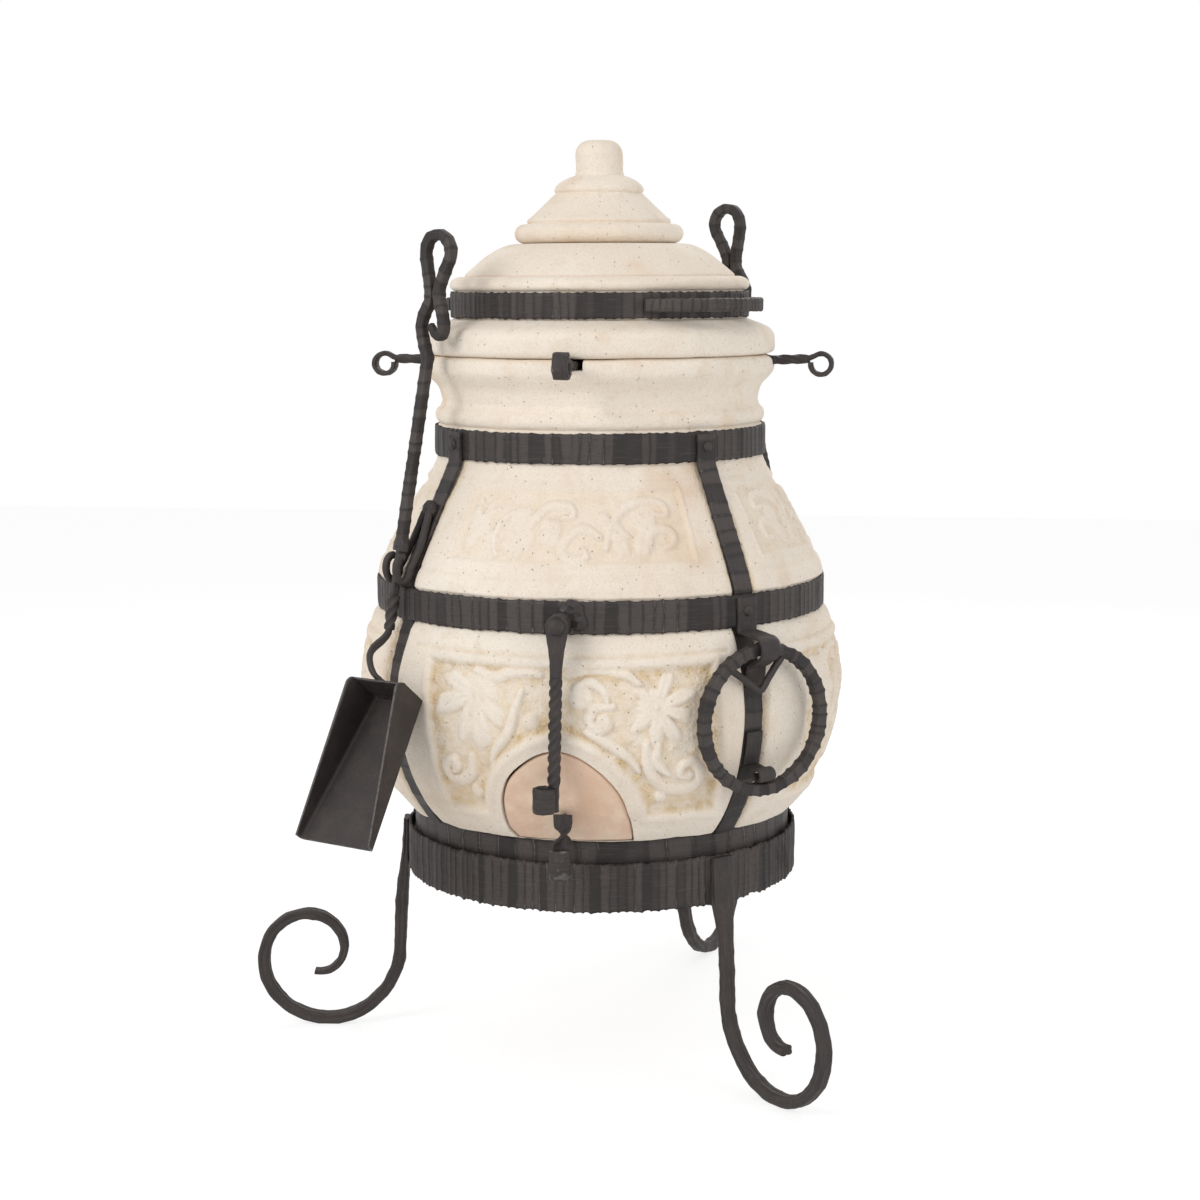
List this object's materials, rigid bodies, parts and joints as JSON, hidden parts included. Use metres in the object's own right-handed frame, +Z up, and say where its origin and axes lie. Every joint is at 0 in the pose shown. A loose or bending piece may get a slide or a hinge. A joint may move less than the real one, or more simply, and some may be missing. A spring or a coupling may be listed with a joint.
{
  "type": "clay tandoor oven",
  "caption": "Amphora-shaped clay tandoor oven in forged iron straps on a scroll-legged stand, with ring lid and cap, blow hole plug, latch, ring handles and fire tools.",
  "frame": {"origin": "on the floor, under the axis of the pot", "axes": "+Z up along the pot's axis; -Y towards the blow hole; +X to the right as one faces the blow hole"},
  "size_m": [0.7159, 0.7621, 1.0606],
  "materials": {
    "fired_clay": "matt fired clay with a fine pitted skin",
    "plug_clay": "matt bare terracotta",
    "forged_iron": "hammered iron with heat-proof dark paint, worn at the edges",
    "cast_grate": "raw cast iron"
  },
  "bodies": {
    "stand": {"stand_ring": "forged_iron", "leg_right": "forged_iron", "leg_left": "forged_iron", "leg_back": "forged_iron", "pot_rest": "forged_iron"},
    "pot": {"pot_body": "fired_clay", "neck_band": "forged_iron", "belly_band": "forged_iron", "base_band": "forged_iron", "strap_front_left": "forged_iron", "strap_front_right": "forged_iron", "strap_back_left": "forged_iron", "strap_back_right": "forged_iron", "band_rivets": "forged_iron", "latch_stud": "forged_iron", "shovel_hanger": "forged_iron", "poker_hanger": "forged_iron", "ring_bracket_right": "forged_iron", "ring_bracket_left": "forged_iron", "ring_rest_right": "forged_iron", "ring_rest_left": "forged_iron"},
    "latch": {"latch_bar": "forged_iron"},
    "plug": {"plug": "plug_clay", "plug_handle": "forged_iron"},
    "ring_right": {"ring_handle_right": "forged_iron"},
    "ring_left": {"ring_handle_left": "forged_iron"},
    "shovel": {"shovel_handle": "forged_iron", "shovel_blade": "forged_iron"},
    "poker": {"poker": "forged_iron"},
    "cross_hanger": {"hanger_bar_side": "forged_iron", "hanger_bar_front": "forged_iron", "hanger_rivet": "forged_iron"},
    "lid": {"lid_body": "fired_clay", "lid_band": "forged_iron", "lid_handle_right": "forged_iron", "lid_handle_left": "forged_iron"},
    "cap": {"cap": "fired_clay"},
    "grate": {"grate": "cast_grate"}
  },
  "joints": [
    {"name": "pot_lift", "type": "slide", "parent": "stand", "child": "pot", "axis": [0, 0, 1], "range_m": [0, 0.12]},
    {"name": "latch_swing", "type": "hinge", "parent": "pot", "child": "latch", "pos_m": [0, -0.2985, 0.537], "axis": [0, 1, 0], "range_deg": [0, 90]},
    {"name": "plug_slide", "type": "slide", "parent": "pot", "child": "plug", "axis": [0, -1, 0], "range_m": [0, 0.07]},
    {"name": "ring_right_swing", "type": "hinge", "parent": "pot", "child": "ring_right", "pos_m": [0.21149, -0.20423, 0.502], "axis": [-0.7547, -0.6561, 0], "range_deg": [0, 100]},
    {"name": "ring_left_swing", "type": "hinge", "parent": "pot", "child": "ring_left", "pos_m": [-0.21149, 0.20423, 0.502], "axis": [0.6947, 0.7193, 0], "range_deg": [0, 100]},
    {"name": "shovel_out", "type": "slide", "parent": "pot", "child": "shovel", "axis": [-0.6436, -0.5795, 0.5], "range_m": [0, 0.15]},
    {"name": "poker_out", "type": "slide", "parent": "pot", "child": "poker", "axis": [0.623, 0.6016, 0.5], "range_m": [0, 0.15]},
    {"name": "hanger_lift", "type": "slide", "parent": "pot", "child": "cross_hanger", "axis": [0, 0, 1], "range_m": [0, 0.12]},
    {"name": "lid_lift", "type": "slide", "parent": "cross_hanger", "child": "lid", "axis": [0, 0, 1], "range_m": [0, 0.2]},
    {"name": "cap_lift", "type": "slide", "parent": "lid", "child": "cap", "axis": [0, 0, 1], "range_m": [0, 0.12]},
    {"name": "grate_lift", "type": "slide", "parent": "pot", "child": "grate", "axis": [0, 0, 1], "range_m": [0, 0.4]}
  ],
  "couplings": [
    {"joint": "plug_slide", "follows": "latch_swing", "m_per_rad": 0.04456}
  ]
}
